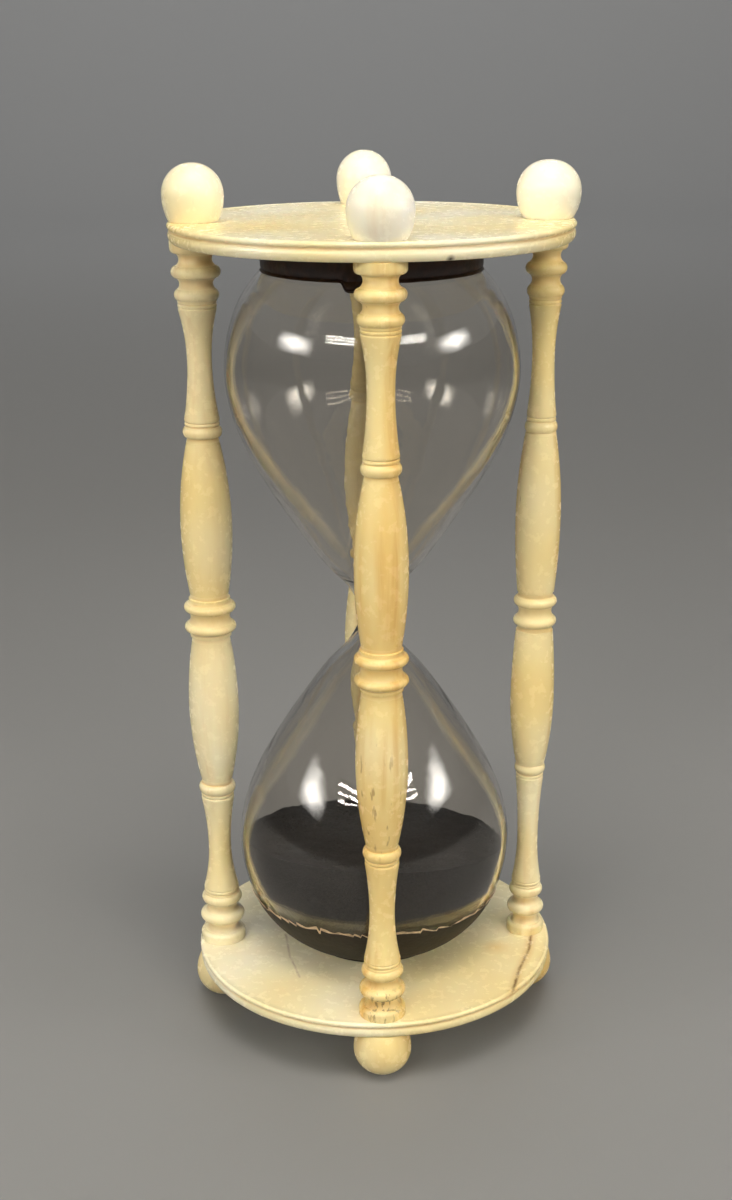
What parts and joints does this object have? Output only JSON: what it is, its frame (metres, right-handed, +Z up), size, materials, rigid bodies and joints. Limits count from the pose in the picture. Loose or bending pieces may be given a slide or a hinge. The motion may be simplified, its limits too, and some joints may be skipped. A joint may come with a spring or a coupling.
{
  "type": "hourglass",
  "caption": "Hourglass with moulded end discs, turned baluster pillars, ball feet and finials, and a blown glass ampoule holding dark sand.",
  "frame": {"origin": "on the resting plane, below the centre of the base plate", "axes": "+Z up along the pillars, -Y towards the front pillar, +X towards the right pillar"},
  "size_m": [0.0822, 0.0818, 0.1835],
  "materials": {
    "ivory": "polished, warm cream with yellowed coves",
    "glass": "clear blown glass with slight waviness",
    "sand": "fine black sand",
    "cork": "cork",
    "pitch": "dark brown set pitch"
  },
  "bodies": {
    "frame": {"base_plate": "ivory", "top_plate": "ivory", "pillar_front": "ivory", "pillar_right": "ivory", "pillar_back": "ivory", "pillar_left": "ivory", "glass_ampoule": "glass", "sand": "sand", "filling_cork": "cork", "upper_pad": "pitch", "lower_pad": "pitch"},
    "finial_front": {"finial_front": "ivory"},
    "foot_front": {"foot_front": "ivory"},
    "finial_right": {"finial_right": "ivory"},
    "foot_right": {"foot_right": "ivory"},
    "finial_back": {"finial_back": "ivory"},
    "foot_back": {"foot_back": "ivory"},
    "finial_left": {"finial_left": "ivory"},
    "foot_left": {"foot_left": "ivory"}
  },
  "joints": [
    {"name": "finial_front_screw", "type": "slide", "parent": "frame", "child": "finial_front", "axis": [0, 0, 1], "range_m": [0, 0.01]},
    {"name": "foot_front_screw", "type": "slide", "parent": "frame", "child": "foot_front", "axis": [0, 0, -1], "range_m": [0, 0.01]},
    {"name": "finial_right_screw", "type": "slide", "parent": "frame", "child": "finial_right", "axis": [0, 0, 1], "range_m": [0, 0.01]},
    {"name": "foot_right_screw", "type": "slide", "parent": "frame", "child": "foot_right", "axis": [0, 0, -1], "range_m": [0, 0.01]},
    {"name": "finial_back_screw", "type": "slide", "parent": "frame", "child": "finial_back", "axis": [0, 0, 1], "range_m": [0, 0.01]},
    {"name": "foot_back_screw", "type": "slide", "parent": "frame", "child": "foot_back", "axis": [0, 0, -1], "range_m": [0, 0.01]},
    {"name": "finial_left_screw", "type": "slide", "parent": "frame", "child": "finial_left", "axis": [0, 0, 1], "range_m": [0, 0.01]},
    {"name": "foot_left_screw", "type": "slide", "parent": "frame", "child": "foot_left", "axis": [0, 0, -1], "range_m": [0, 0.01]}
  ]
}
